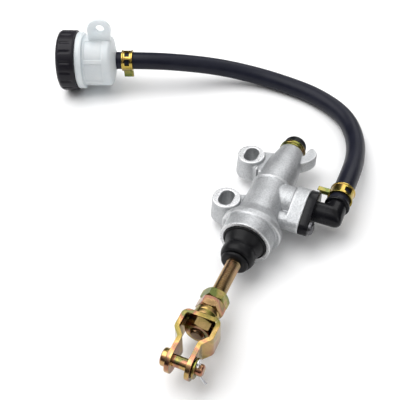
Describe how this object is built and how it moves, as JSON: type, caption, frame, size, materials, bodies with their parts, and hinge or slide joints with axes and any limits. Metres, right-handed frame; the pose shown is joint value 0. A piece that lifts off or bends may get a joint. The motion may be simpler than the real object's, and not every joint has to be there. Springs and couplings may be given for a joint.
{
  "type": "rear brake master cylinder",
  "caption": "Motorcycle rear brake master cylinder with an adjustable pushrod and clevis, and a remote fluid reservoir on a hose.",
  "frame": {"origin": "midway between the two mounting slots, on the bosses' seat face", "axes": "+Z along the mounting bolts, out of the bosses; +Y along the bore towards the outlet; +X towards the inlet elbow"},
  "size_m": [0.2336, 0.2523, 0.0543],
  "materials": {
    "cast_aluminium": "cast, satin",
    "zinc_gold": "yellow zinc plate, semi-gloss",
    "bright_steel": "bright",
    "dark_steel": "black oxide",
    "piston_alloy": "anodised, satin",
    "seal_rubber": "matte",
    "boot_rubber": "satin",
    "hose_rubber": "satin",
    "black_plastic": "gloss",
    "cap_plastic": "satin",
    "milky_plastic": "translucent, smooth"
  },
  "bodies": {
    "cylinder": {"cylinder_body": "cast_aluminium", "stop_washer": "bright_steel", "circlip": "dark_steel", "dust_boot": "boot_rubber", "return_spring": "bright_steel", "inlet_elbow": "black_plastic", "elbow_o_ring": "seal_rubber", "elbow_screw": "dark_steel", "hose": "hose_rubber", "hose_clamp_cylinder": "zinc_gold", "hose_clamp_reservoir": "zinc_gold", "reservoir_bottle": "milky_plastic", "crush_washer": "zinc_gold", "banjo_bolt": "zinc_gold"},
    "piston": {"piston": "piston_alloy", "primary_cup": "seal_rubber", "secondary_cup": "seal_rubber", "spring_seat": "bright_steel"},
    "rod": {"pushrod": "zinc_gold"},
    "clevis": {"clevis": "zinc_gold"},
    "nuts": {"lock_nut": "zinc_gold", "jam_nut": "zinc_gold", "clevis_nut": "zinc_gold", "spring_washer": "zinc_gold", "rod_spacer": "zinc_gold"},
    "pin": {"clevis_pin": "zinc_gold", "pin_washer": "zinc_gold", "cotter_pin": "bright_steel"},
    "lid": {"diaphragm": "seal_rubber", "diaphragm_plate": "black_plastic"},
    "cap": {"reservoir_cap": "cap_plastic"},
    "outlet_cover": {"dust_cap": "boot_rubber"}
  },
  "joints": [
    {"name": "piston_slide", "type": "slide", "parent": "cylinder", "child": "piston", "axis": [0, 1, 0], "range_m": [0, 0.012], "stiffness_N_per_m": 900, "springref_m": -0.012, "deforming": ["return_spring", "dust_boot"]},
    {"name": "pushrod_tilt", "type": "hinge", "parent": "piston", "child": "rod", "pos_m": [0.021, -0.0296, 0.01], "axis": [1, 0, 0], "range_deg": [-2.5, 2.5], "deforming": ["dust_boot"]},
    {"name": "clevis_adjust", "type": "slide", "parent": "rod", "child": "clevis", "axis": [0, 1, 0], "range_m": [-0.00125, 0.005]},
    {"name": "nuts_turn", "type": "hinge", "parent": "clevis", "child": "nuts", "pos_m": [0.021, -0.0835, 0.01], "axis": [0, 1, 0], "range_deg": [-361, 1441]},
    {"name": "clevis_pin_turn", "type": "hinge", "parent": "clevis", "child": "pin", "pos_m": [0.021, -0.126, 0.01], "axis": [1, 0, 0], "continuous": true},
    {"name": "cap_lift", "type": "slide", "parent": "cylinder", "child": "lid", "axis": [-0.9272, -0.3746, 0], "range_m": [0, 0.009]},
    {"name": "cap_turn", "type": "hinge", "parent": "lid", "child": "cap", "pos_m": [-0.1227, 0.074, 0.0155], "axis": [-0.9272, -0.3746, 0], "range_deg": [-1, 1081]},
    {"name": "dust_cap_pull", "type": "slide", "parent": "cylinder", "child": "outlet_cover", "axis": [0, 1, 0], "range_m": [0, 0.015]}
  ],
  "couplings": [
    {"joint": "nuts_turn", "follows": "clevis_adjust", "rad_per_m": 5026.5},
    {"joint": "cap_turn", "follows": "cap_lift", "rad_per_m": 2094.4}
  ]
}
